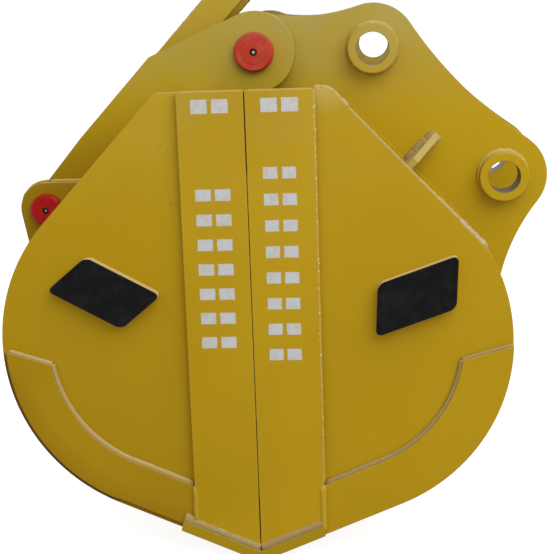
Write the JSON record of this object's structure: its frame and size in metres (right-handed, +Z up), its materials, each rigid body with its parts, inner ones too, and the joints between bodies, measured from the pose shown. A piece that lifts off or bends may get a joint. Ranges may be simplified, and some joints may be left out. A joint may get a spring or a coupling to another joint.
{
  "type": "clamshell bucket",
  "caption": "Mechanical clamshell bucket for an excavator: hinged jaws with wear plates and cutting lips, pin ears on the rear jaw and a stiff arm on the front jaw.",
  "frame": {"origin": "stick pin axis at mid width", "axes": "+Y along the stick pin, +X from the front jaw towards the link pin, +Z up with the jaws closed"},
  "size_m": [1.3312, 1.0825, 1.6348],
  "materials": {
    "yellow_paint": "satin mustard-yellow enamel over welded plate",
    "black_paint": "matt black",
    "red_paint": "gloss red",
    "pin_steel": "ground",
    "bush_metal": "greased bronze",
    "nipple_steel": "zinc plated"
  },
  "bodies": {
    "rear_jaw": {"rear_side_plates": "yellow_paint", "rear_edge_strips": "yellow_paint", "rear_wear_plates": "yellow_paint", "rear_wrapper": "yellow_paint", "rear_back_plate": "yellow_paint", "rear_top_bar": "yellow_paint", "rear_cutting_lip": "yellow_paint", "rear_badge_plate": "black_paint", "rear_ears": "yellow_paint", "stick_pin_bosses": "yellow_paint", "link_pin_bosses": "yellow_paint", "hinge_tube": "yellow_paint", "hinge_bush": "bush_metal", "rear_gussets": "yellow_paint"},
    "front_jaw": {"front_side_plates": "yellow_paint", "front_edge_strips": "yellow_paint", "front_wear_plates": "yellow_paint", "front_wrapper": "yellow_paint", "front_back_plate": "yellow_paint", "front_top_bar": "yellow_paint", "front_cutting_lip": "yellow_paint", "front_badge_plate": "black_paint", "front_hinge_plates": "yellow_paint", "arm_ear_doublers": "yellow_paint", "hinge_pin": "pin_steel", "hinge_pin_caps": "red_paint", "arm_pin": "pin_steel", "arm_pin_caps": "red_paint", "grease_nipples": "nipple_steel", "arm_rest_block": "yellow_paint"},
    "stiff_arm": {"arm_cheeks": "yellow_paint", "arm_top_plate": "yellow_paint", "arm_bottom_plate": "yellow_paint", "arm_pivot_tube": "yellow_paint", "arm_pivot_bush": "bush_metal", "arm_head_tube": "yellow_paint"}
  },
  "joints": [
    {"name": "front_jaw_hinge", "type": "hinge", "parent": "rear_jaw", "child": "front_jaw", "pos_m": [-0.292, 0, 0], "axis": [0, 1, 0], "range_deg": [0, 80]},
    {"name": "arm_pivot", "type": "hinge", "parent": "front_jaw", "child": "stiff_arm", "pos_m": [-0.83235, 0, -0.37758], "axis": [0, -1, 0], "range_deg": [0, 100]}
  ]
}
